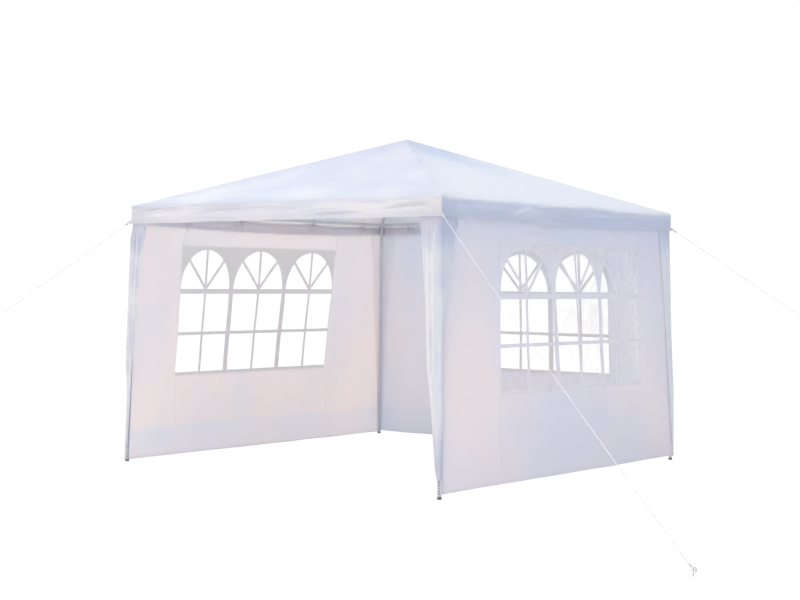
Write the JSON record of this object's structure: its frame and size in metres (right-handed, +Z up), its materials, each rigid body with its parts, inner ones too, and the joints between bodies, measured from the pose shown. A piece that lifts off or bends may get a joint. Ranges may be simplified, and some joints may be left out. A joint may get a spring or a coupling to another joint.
{
  "type": "marquee tent",
  "caption": "Square marquee tent on a tube frame, with a low pyramid canopy, a short valance, windowed walls on three sides, an open front and guy ropes.",
  "frame": {"origin": "middle of the plan at ground level, under the roof's top", "axes": "+Z up, -Y out through the open front, +X to the right seen from the front"},
  "size_m": [7.994, 5.464, 2.5108],
  "materials": {
    "canopy_cloth": "white polyethylene cloth, slightly glossy",
    "wall_cloth": "thin white polyethylene cloth",
    "window_film": "clear soft film, lightly creased",
    "frame_steel": "grey powder coat",
    "peg_steel": "zinc plated",
    "foot_cap": "dark moulded plastic",
    "rope": "white twisted cord"
  },
  "bodies": {
    "root": {"leg_front_right": "frame_steel", "foot_cap_front_right": "foot_cap", "corner_fitting_front_right": "frame_steel", "hip_rafter_front_right": "frame_steel", "leg_drape_front_right": "wall_cloth", "guy_rope_front_right": "rope", "ground_peg_front_right": "peg_steel", "leg_front_left": "frame_steel", "foot_cap_front_left": "foot_cap", "corner_fitting_front_left": "frame_steel", "hip_rafter_front_left": "frame_steel", "leg_drape_front_left": "wall_cloth", "guy_rope_front_left": "rope", "ground_peg_front_left": "peg_steel", "leg_back_left": "frame_steel", "foot_cap_back_left": "foot_cap", "corner_fitting_back_left": "frame_steel", "hip_rafter_back_left": "frame_steel", "leg_drape_back_left": "wall_cloth", "guy_rope_back_left": "rope", "ground_peg_back_left": "peg_steel", "leg_back_right": "frame_steel", "foot_cap_back_right": "foot_cap", "corner_fitting_back_right": "frame_steel", "hip_rafter_back_right": "frame_steel", "leg_drape_back_right": "wall_cloth", "guy_rope_back_right": "rope", "ground_peg_back_right": "peg_steel", "eave_tube_front": "frame_steel", "roof_panel_front": "canopy_cloth", "valance_front": "canopy_cloth", "eave_tube_right": "frame_steel", "roof_panel_right": "canopy_cloth", "valance_right": "canopy_cloth", "eave_tube_back": "frame_steel", "roof_panel_back": "canopy_cloth", "valance_back": "canopy_cloth", "eave_tube_left": "frame_steel", "roof_panel_left": "canopy_cloth", "valance_left": "canopy_cloth", "left_wall": "wall_cloth", "left_window_film": "window_film", "right_wall": "wall_cloth", "right_window_film": "window_film", "back_wall": "wall_cloth", "back_window_film": "window_film", "crown_fitting": "frame_steel"}
  },
  "joints": []
}
